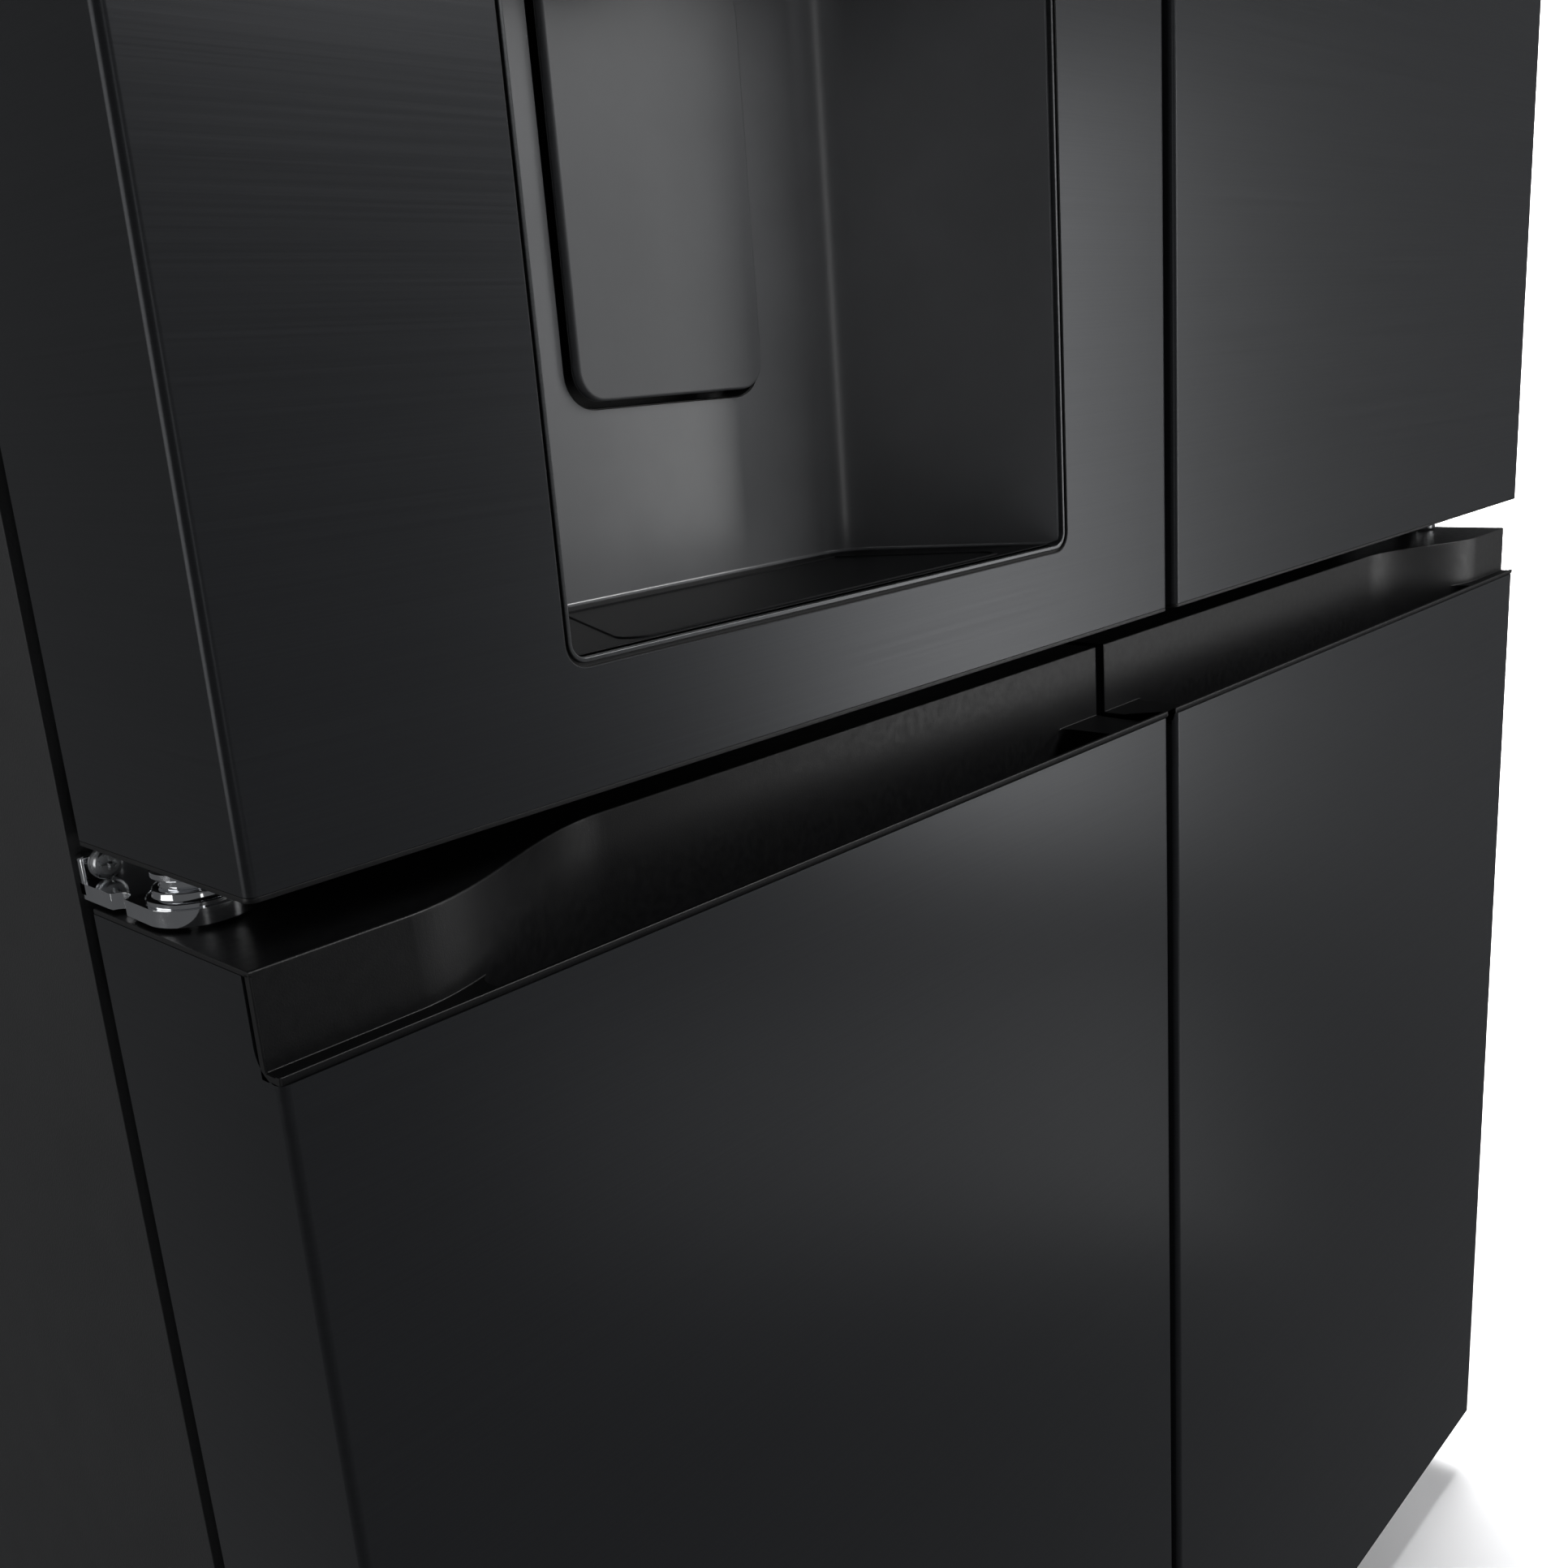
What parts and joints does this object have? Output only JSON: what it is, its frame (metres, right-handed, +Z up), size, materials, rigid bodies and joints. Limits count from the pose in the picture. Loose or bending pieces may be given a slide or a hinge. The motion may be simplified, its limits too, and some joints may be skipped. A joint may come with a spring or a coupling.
{
  "type": "french door refrigerator",
  "caption": "Tall four-door refrigerator: two upper doors, one with a water and ice dispenser, over two freezer doors with recessed grips.",
  "frame": {"origin": "middle of the bounding box's bottom face, on the floor under the refrigerator's centre", "axes": "+X to the right seen from the front, +Y from the doors to the rear, +Z up"},
  "size_m": [0.912, 0.728, 1.787],
  "materials": {
    "black_steel": "satin",
    "black_plastic": "matte",
    "grey_steel": "satin",
    "insulation_foam": "matte",
    "white_plastic": "satin",
    "plated_steel": "satin",
    "chrome": "polished",
    "shelf_glass": "gloss",
    "clear_plastic": "gloss",
    "frame_plastic": "satin",
    "bare_aluminium": "satin",
    "black_paint": "satin",
    "fitting_plastic": "satin",
    "gasket_rubber": "matte",
    "bezel_metal": "satin",
    "panel_gloss": "gloss",
    "nozzle_plastic": "satin",
    "flap_plastic": "satin",
    "roller_plastic": "matte"
  },
  "bodies": {
    "cabinet": {"cabinet_shell": "black_steel", "rear_panel": "grey_steel", "machine_cover": "grey_steel", "base_frame": "grey_steel", "cabinet_foam": "insulation_foam", "inner_liners": "white_plastic", "front_rails": "black_steel", "kick_plate": "black_plastic", "leveling_feet": "black_plastic", "top_and_bottom_hinges": "plated_steel", "top_hinge_covers": "black_plastic", "mid_hinges": "chrome", "hinge_screws": "plated_steel", "glass_shelves": "shelf_glass", "shelf_frames": "frame_plastic", "duct_covers": "white_plastic", "evaporators": "bare_aluminium", "light_lens": "white_plastic", "compressor": "black_paint", "condenser_and_shroud": "black_paint", "rear_fittings": "fitting_plastic"},
    "upper_left_door": {"upper_left_skin": "black_steel", "upper_left_foam": "insulation_foam", "upper_left_liner": "white_plastic", "upper_left_caps": "black_plastic", "upper_left_gasket": "gasket_rubber", "upper_left_bins": "clear_plastic", "dispenser_housing": "black_plastic", "dispenser_bezel": "bezel_metal", "control_panel": "panel_gloss", "dispenser_nozzle": "nozzle_plastic", "drip_tray": "black_plastic", "ice_maker_and_bucket": "white_plastic"},
    "mullion_flap": {"mullion_flap": "flap_plastic"},
    "dispenser_paddle": {"dispenser_paddle": "black_plastic"},
    "upper_right_door": {"upper_right_skin": "black_steel", "upper_right_foam": "insulation_foam", "upper_right_liner": "white_plastic", "upper_right_caps": "black_plastic", "upper_right_gasket": "gasket_rubber", "upper_right_bins": "clear_plastic"},
    "lower_left_door": {"lower_left_skin": "black_steel", "lower_left_foam": "insulation_foam", "lower_left_liner": "white_plastic", "lower_left_caps": "black_plastic", "lower_left_gasket": "gasket_rubber"},
    "lower_right_door": {"lower_right_skin": "black_steel", "lower_right_foam": "insulation_foam", "lower_right_liner": "white_plastic", "lower_right_caps": "black_plastic", "lower_right_gasket": "gasket_rubber"},
    "crisper_left": {"crisper_left": "clear_plastic"},
    "crisper_right": {"crisper_right": "clear_plastic"},
    "freezer_drawer_left_top": {"freezer_drawer_left_top": "clear_plastic"},
    "freezer_drawer_left_bottom": {"freezer_drawer_left_bottom": "clear_plastic"},
    "freezer_drawer_right_top": {"freezer_drawer_right_top": "clear_plastic"},
    "freezer_drawer_right_bottom": {"freezer_drawer_right_bottom": "clear_plastic"},
    "rear_roller_left": {"rear_roller_left": "roller_plastic"},
    "rear_roller_right": {"rear_roller_right": "roller_plastic"},
    "condenser_fan": {"condenser_fan": "black_plastic"}
  },
  "joints": [
    {"name": "upper_left_door_hinge", "type": "hinge", "parent": "cabinet", "child": "upper_left_door", "pos_m": [-0.44, -0.302, 1.25], "axis": [0, 0, -1], "range_deg": [0, 120]},
    {"name": "upper_right_door_hinge", "type": "hinge", "parent": "cabinet", "child": "upper_right_door", "pos_m": [0.44, -0.302, 1.25], "axis": [0, 0, 1], "range_deg": [0, 120]},
    {"name": "lower_left_door_hinge", "type": "hinge", "parent": "cabinet", "child": "lower_left_door", "pos_m": [-0.44, -0.302, 0.39], "axis": [0, 0, -1], "range_deg": [0, 120]},
    {"name": "lower_right_door_hinge", "type": "hinge", "parent": "cabinet", "child": "lower_right_door", "pos_m": [0.44, -0.302, 0.39], "axis": [0, 0, 1], "range_deg": [0, 120]},
    {"name": "mullion_flap_hinge", "type": "hinge", "parent": "upper_left_door", "child": "mullion_flap", "pos_m": [-0.049, -0.249, 1.2475], "axis": [0, 0, -1], "range_deg": [0, 90]},
    {"name": "dispenser_paddle_hinge", "type": "hinge", "parent": "upper_left_door", "child": "dispenser_paddle", "pos_m": [-0.21665, -0.273, 1.002], "axis": [1, 0, 0], "range_deg": [0, 5], "stiffness_Nm_per_rad": 0.3, "springref_deg": -5.73},
    {"name": "crisper_left_slide", "type": "slide", "parent": "cabinet", "child": "crisper_left", "axis": [0, -1, 0], "range_m": [0, 0.216]},
    {"name": "crisper_right_slide", "type": "slide", "parent": "cabinet", "child": "crisper_right", "axis": [0, -1, 0], "range_m": [0, 0.216]},
    {"name": "freezer_drawer_left_top_slide", "type": "slide", "parent": "cabinet", "child": "freezer_drawer_left_top", "axis": [0, -1, 0], "range_m": [0, 0.18]},
    {"name": "freezer_drawer_left_bottom_slide", "type": "slide", "parent": "cabinet", "child": "freezer_drawer_left_bottom", "axis": [0, -1, 0], "range_m": [0, 0.18]},
    {"name": "freezer_drawer_right_top_slide", "type": "slide", "parent": "cabinet", "child": "freezer_drawer_right_top", "axis": [0, -1, 0], "range_m": [0, 0.18]},
    {"name": "freezer_drawer_right_bottom_slide", "type": "slide", "parent": "cabinet", "child": "freezer_drawer_right_bottom", "axis": [0, -1, 0], "range_m": [0, 0.18]},
    {"name": "rear_roller_left_spin", "type": "hinge", "parent": "cabinet", "child": "rear_roller_left", "pos_m": [-0.4, 0.32, 0.02], "axis": [1, 0, 0], "continuous": true},
    {"name": "rear_roller_right_spin", "type": "hinge", "parent": "cabinet", "child": "rear_roller_right", "pos_m": [0.4, 0.32, 0.02], "axis": [1, 0, 0], "continuous": true},
    {"name": "condenser_fan_spin", "type": "hinge", "parent": "cabinet", "child": "condenser_fan", "pos_m": [-0.028, 0.252, 0.134], "axis": [1, 0, 0], "continuous": true}
  ],
  "couplings": [
    {"joint": "crisper_left_slide", "follows": "upper_left_door_hinge", "m_per_rad": 0.10313},
    {"joint": "crisper_right_slide", "follows": "upper_right_door_hinge", "m_per_rad": 0.10313},
    {"joint": "freezer_drawer_left_top_slide", "follows": "lower_left_door_hinge", "m_per_rad": 0.08594},
    {"joint": "freezer_drawer_left_bottom_slide", "follows": "lower_left_door_hinge", "m_per_rad": 0.08594},
    {"joint": "freezer_drawer_right_top_slide", "follows": "lower_right_door_hinge", "m_per_rad": 0.08594},
    {"joint": "freezer_drawer_right_bottom_slide", "follows": "lower_right_door_hinge", "m_per_rad": 0.08594}
  ]
}
